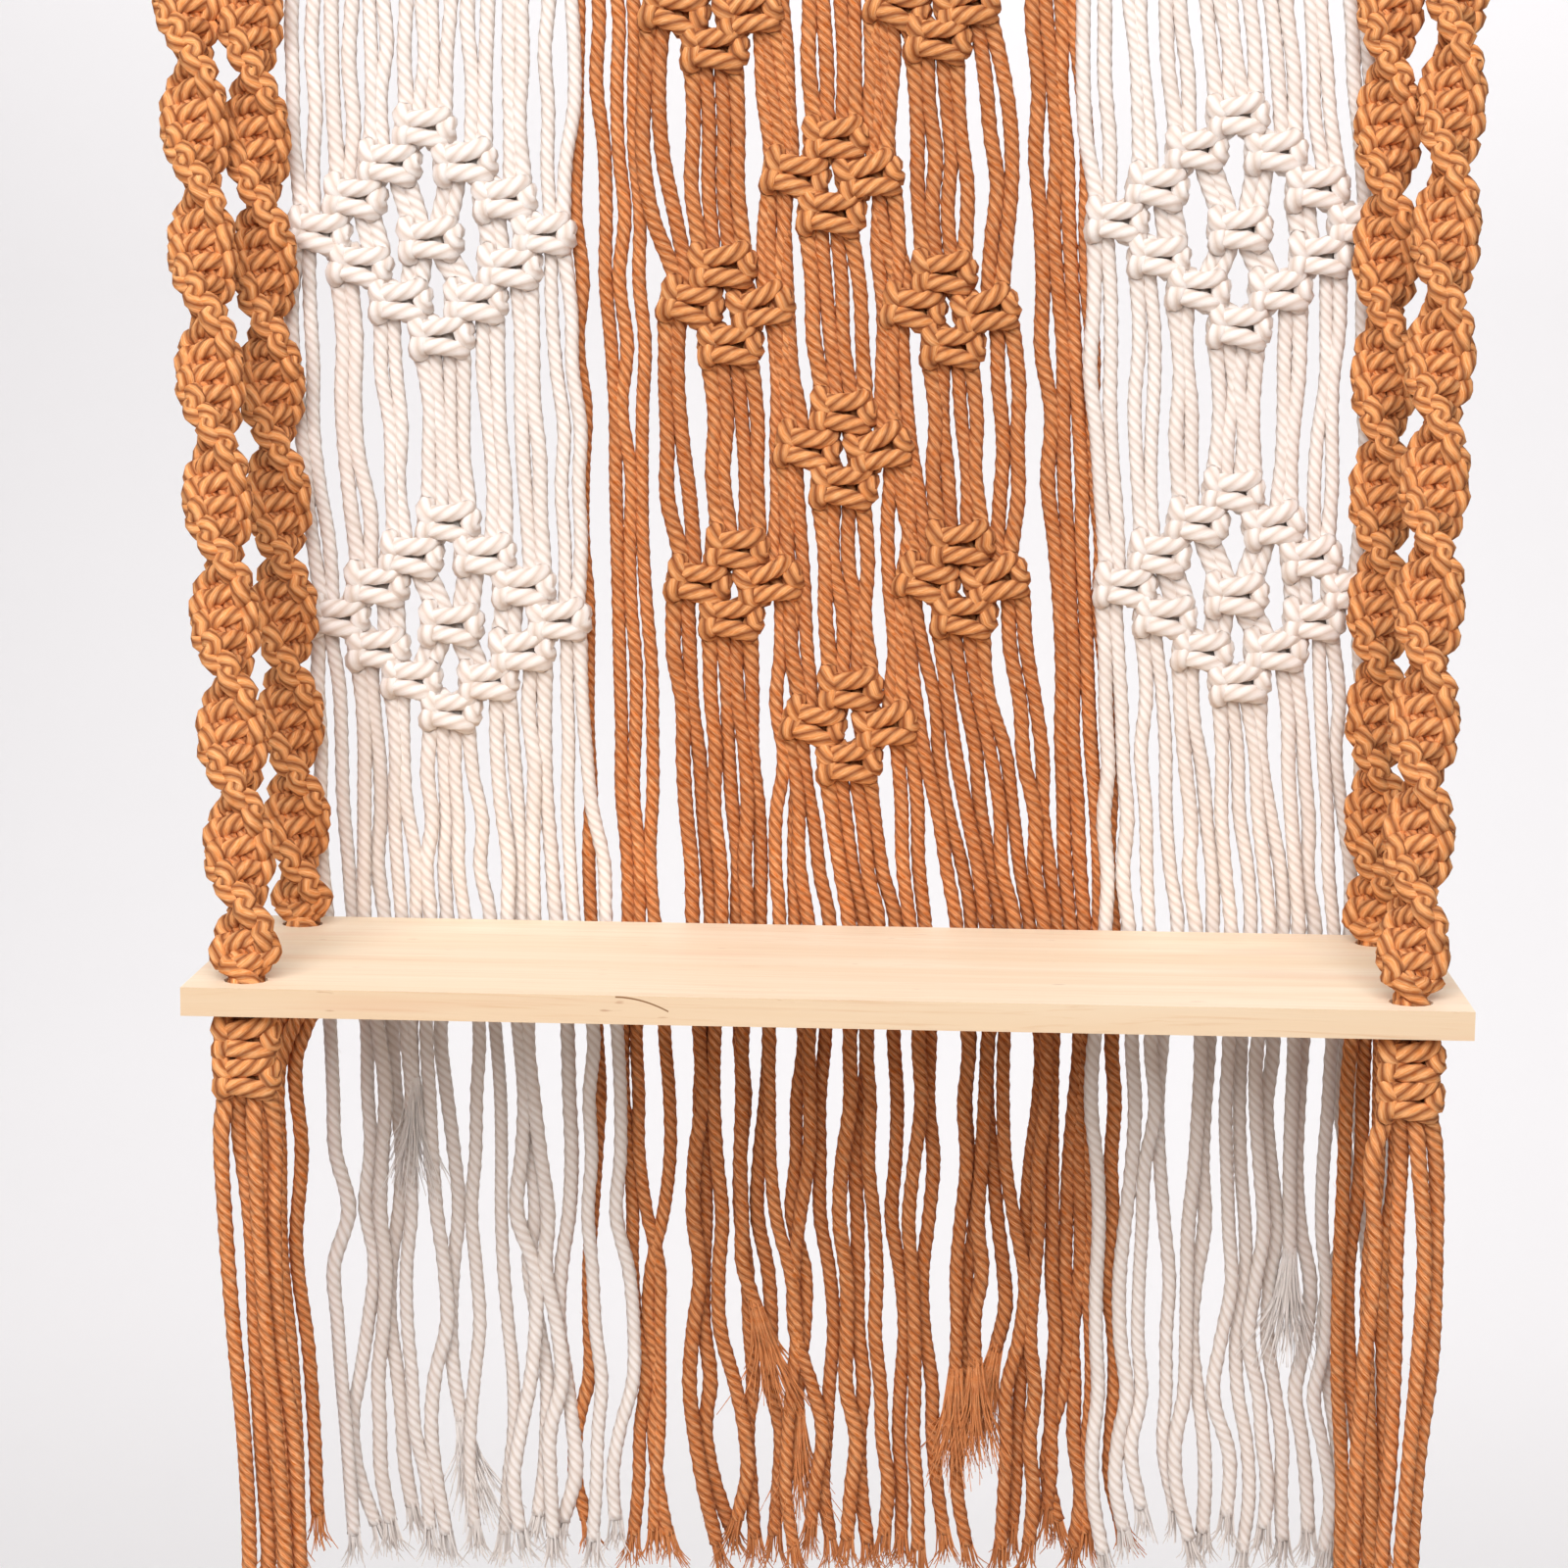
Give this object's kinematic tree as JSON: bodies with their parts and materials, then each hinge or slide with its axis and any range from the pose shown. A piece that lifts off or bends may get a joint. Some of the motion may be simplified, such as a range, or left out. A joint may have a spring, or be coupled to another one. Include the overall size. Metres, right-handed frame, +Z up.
{
  "type": "macrame wall shelf",
  "caption": "Pine shelf board hung from spiral macrame sinnets in front of a knotted cotton cord panel with a long fringe.",
  "frame": {"origin": "middle of the hanging's top edge, in the plane of the cord panel", "axes": "+Z up, +X to the right as seen from the front, +Y back towards the wall, so the front faces -Y"},
  "size_m": [0.4456, 0.1447, 0.6112],
  "materials": {
    "pine": "pale planed pine, unvarnished",
    "orange_cord": "twisted cotton rope, matt, burnt orange",
    "cream_cord": "twisted cotton rope, matt, natural cream"
  },
  "bodies": {
    "root": {"board": "pine", "left_band": "cream_cord", "left_cords": "orange_cord", "centre_band": "orange_cord", "right_cords": "orange_cord", "right_band": "cream_cord", "sinnet_front_left": "orange_cord", "sinnet_rear_left": "orange_cord", "sinnet_front_right": "orange_cord", "sinnet_rear_right": "orange_cord"}
  },
  "joints": []
}
